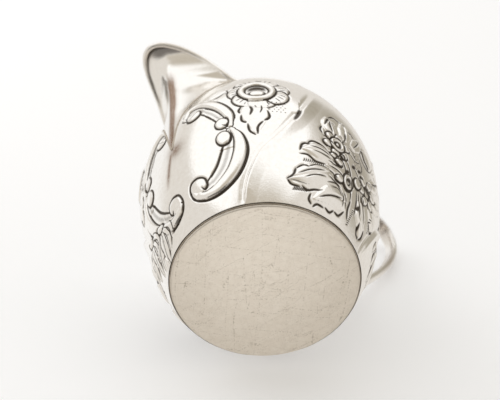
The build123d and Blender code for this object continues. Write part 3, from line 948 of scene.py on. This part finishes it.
def satin_silver():
    """The base's face: dull, warm, and covered in hairline scratches and small pits."""
    made, nodes, shader = material("satin_silver")
    cloud = nodes.noise(30.0, 3.0)
    fine = nodes.noise(1500.0, 3.0)
    tone = nodes.mix(nodes.span(cloud, 0.3, 0.7), (0.84, 0.80, 0.73, 1), (0.79, 0.745, 0.67, 1))
    tone = nodes.mix(nodes.span(fine, 0.35, 0.75, 0.0, 0.18), tone, (0.66, 0.61, 0.54, 1))
    fine_lines = scratch_lines(nodes, 420.0, 0.022, ((0, 0, 0.3), (0, 0, 1.0), (0, 0, 1.9), (0, 0, 2.6)))
    bold_lines = scratch_lines(nodes, 170.0, 0.0065, ((0, 0, 0.7), (0, 0, 2.2), (0, 0, 2.9)))
    pits = nodes.add("TexVoronoi", {"Scale": 420.0, "Randomness": 1.0}).outputs["Distance"]
    pits = nodes.times(nodes.span(pits, 0.13, 0.05), nodes.span(nodes.noise(260.0, 1.0), 0.6, 0.66))
    marks = nodes.math("MAXIMUM", nodes.times(fine_lines, 0.25),
                       nodes.math("MAXIMUM", bold_lines, pits))
    tone = nodes.mix(nodes.times(marks, 0.6), tone, (0.30, 0.26, 0.20, 1))
    rough = nodes.span(fine, 0.3, 0.7, 0.40, 0.52)
    height = nodes.math("SUBTRACT", nodes.times(fine, 0.12), marks)
    set_surface(nodes, shader, tone, 0.85, rough, height, 0.3, 0.00005)
    return made


def solder_metal():
    """Tarnished solder: grey-brown, dull and slightly lumpy."""
    made, nodes, shader = material("tarnished_solder")
    cloud = nodes.noise(500.0, 4.0)
    tone = nodes.mix(nodes.span(cloud, 0.35, 0.65), (0.42, 0.36, 0.29, 1), (0.66, 0.60, 0.52, 1))
    lumps = nodes.noise(1500.0, 3.0)
    set_surface(nodes, shader, tone, 0.9, nodes.span(cloud, 0.3, 0.7, 0.32, 0.5), lumps, 0.5, 0.0001)
    return made


# ---- stage, light and camera

CAMERA_PLACE = Vector((-201.32, -190.20, -356.83)) * MM
CAMERA_RIGHT = Vector((0.72764, -0.68518, -0.03281))
CAMERA_UP = Vector((-0.55063, -0.61194, 0.56775))
CAMERA_LENS = 110.29
TABLE_TILT = 24.0
F_STOP = 18.0
# Patches of the tent: direction in the camera's view, cosines of the inner and outer angle, colour.
TENT_PATCHES = (
    ((-0.15, 0.98, 0.0), 0.77, 0.71, (1.10, 1.09, 1.07)),
    ((0.0, -0.95, 0.3), 0.92, 0.6, (0.60, 0.545, 0.48)),
    ((0.05, 0.55, 0.83), 0.93, 0.72, (0.56, 0.51, 0.43)),
    ((0.68, 0.42, -0.58), 0.97, 0.86, (0.42, 0.385, 0.32)),
    ((-0.5, 0.1, -0.86), 0.97, 0.85, (0.95, 0.94, 0.92)),
    ((0.3, -0.3, 0.9), 0.96, 0.86, (0.15, 0.14, 0.125)),
    ((-0.35, -0.35, 0.87), 0.96, 0.88, (0.18, 0.165, 0.15)),
)


def stage_material(name, from_below):
    """Pale surface that only the camera sees, and only from one side of the jug's own floor plane."""
    made, nodes, shader = material(name)
    shader.inputs["Base Color"].default_value = (0.83, 0.845, 0.87, 1)
    shader.inputs["Emission Color"].default_value = (1.0, 1.0, 1.0, 1)
    shader.inputs["Emission Strength"].default_value = 0.225
    shader.inputs["Roughness"].default_value = 0.75
    shader.inputs["Specular IOR Level"].default_value = 0.2
    path = nodes.add("LightPath")
    geometry = nodes.add("NewGeometry")
    toward = nodes.add("SeparateXYZ", {0: geometry.outputs["Incoming"]}).outputs[2]
    here = nodes.add("SeparateXYZ", {0: geometry.outputs["Position"]}).outputs[2]
    eye = nodes.math("ADD", here, nodes.times(toward, path.outputs["Ray Length"]))
    seen = nodes.math("LESS_THAN" if from_below else "GREATER_THAN", eye, -0.002 if from_below else 0.002)
    seen = nodes.times(seen, path.outputs["Is Camera Ray"])
    clear = nodes.add("BsdfTransparent").outputs[0]
    output = made.node_tree.nodes["Material Output"]
    mixed = nodes.add("MixShader", {0: seen, 1: clear, 2: shader.outputs[0]}).outputs[0]
    nodes.feed(output.inputs["Surface"], mixed)
    return made


def make_stage(camera_back, camera_up, pieces):
    """Floor under the standing jug, and the table that it lies on when it is seen from below."""
    def plane(name, matrix, size, surface):
        mesh = bpy.data.meshes.new(name)
        corners = [(-size, -size, 0), (size, -size, 0), (size, size, 0), (-size, size, 0)]
        mesh.from_pydata(corners, [], [(0, 1, 2, 3)])
        obj = bpy.data.objects.new(name, mesh)
        obj.matrix_world = matrix
        mesh.materials.append(surface)
        bpy.context.scene.collection.objects.link(obj)
        return obj

    plane("floor", Matrix.Translation((0, 0, -0.0002)), 2.5, stage_material("floor_paper", False))
    tilt = math.radians(TABLE_TILT)
    normal = (camera_up * math.cos(tilt) + camera_back * math.sin(tilt)).normalized()
    lowest = min(min(normal.dot(v.co) for v in p.data.vertices) for p in pieces)
    facing = normal.to_track_quat("Z", "Y").to_matrix().to_4x4()
    matrix = Matrix.Translation(normal * (lowest - 0.0003)) @ facing
    plane("table", matrix, 2.5, stage_material("table_paper", True))


def soft_blob(nodes, direction, towards, inner, outer):
    """1 near a direction, falling to 0: inner and outer are cosines."""
    d = Vector(towards).normalized()
    dot = nodes.add("VectorMath", {0: direction, 1: d}, operation="DOT_PRODUCT").outputs["Value"]
    return nodes.add("MapRange", {0: dot, 1: outer, 2: inner, 3: 0.0, 4: 1.0}, clamp=True,
                     interpolation_type="SMOOTHSTEP").outputs[0]


def in_view(right, up, back):
    """Direction given by its parts to the right, upwards and towards the camera, in the camera's view."""
    return CAMERA_RIGHT * right + CAMERA_UP * up + CAMERA_RIGHT.cross(CAMERA_UP) * back


def make_world():
    """White tent: bright all round, with grey patches for the silver to mirror."""
    world = bpy.data.worlds.new("white_tent")
    bpy.context.scene.world = world
    world.use_nodes = True
    nodes = Nodes(world.node_tree)
    direction = nodes.add("TexCoord").outputs["Generated"]
    tone = (0.77, 0.735, 0.685, 1)
    for towards, inner, outer, colour in TENT_PATCHES:
        tone = nodes.mix(soft_blob(nodes, direction, in_view(*towards), inner, outer), tone, colour + (1,))
    is_camera = nodes.add("LightPath").outputs["Is Camera Ray"]
    tone = nodes.mix(is_camera, tone, (0.955, 0.952, 0.948, 1))
    background = world.node_tree.nodes["Background"]
    nodes.feed(background.inputs["Color"], tone)
    background.inputs["Strength"].default_value = 1.0


def add_area_light(name, place, target, size, power):
    data = bpy.data.lights.new(name, "AREA")
    data.shape = "DISK"
    data.size = size
    data.energy = power
    lamp = bpy.data.objects.new(name, data)
    lamp.location = place
    lamp.rotation_euler = (Vector(target) - Vector(place)).to_track_quat("-Z", "Y").to_euler()
    lamp.visible_glossy = False
    bpy.context.scene.collection.objects.link(lamp)
    return lamp


def make_camera():
    back = CAMERA_RIGHT.cross(CAMERA_UP).normalized()
    data = bpy.data.cameras.new("photo_camera")
    data.lens = CAMERA_LENS
    data.sensor_width = 36.0
    data.clip_start = 0.01
    data.dof.use_dof = True
    data.dof.focus_object = bpy.data.objects["base_disc"]
    data.dof.aperture_fstop = F_STOP
    camera = bpy.data.objects.new("photo_camera", data)
    turn = Matrix((CAMERA_RIGHT, CAMERA_UP, back)).transposed().to_4x4()
    camera.matrix_world = Matrix.Translation(CAMERA_PLACE) @ turn
    bpy.context.scene.collection.objects.link(camera)
    bpy.context.scene.camera = camera
    return back


silver = polished_silver()
satin = satin_silver()
solder = solder_metal()
pieces = [
    make_bowl(silver),
    make_spout(silver),
    make_rim_wire(silver),
    make_handle(silver),
    solder_collar("lower_handle_solder", "handle_lower_solder", False, solder),
    solder_collar("upper_handle_solder", "handle_upper_solder", True, solder),
    make_spout_solder(solder),
    make_base_plate(satin),
    make_base_solder(solder),
    make_base_fillet(solder),
]
camera_back = make_camera()
make_stage(camera_back, CAMERA_UP, pieces)
make_world()
add_area_light("soft_key", (-0.5, 0.35, 0.7), (0, 0, 0.04), 0.8, 3.0)
glow = add_area_light("base_glow", (0.020, 0.024, -0.085), (-0.020, -0.014, 0), 0.07, 0.010)
glow.visible_glossy = True
only_base = bpy.data.collections.new("lit_by_glow")
only_base.objects.link(bpy.data.objects["base_disc"])
glow.light_linking.receiver_collection = only_base
bpy.context.scene.view_settings.view_transform = "Standard"
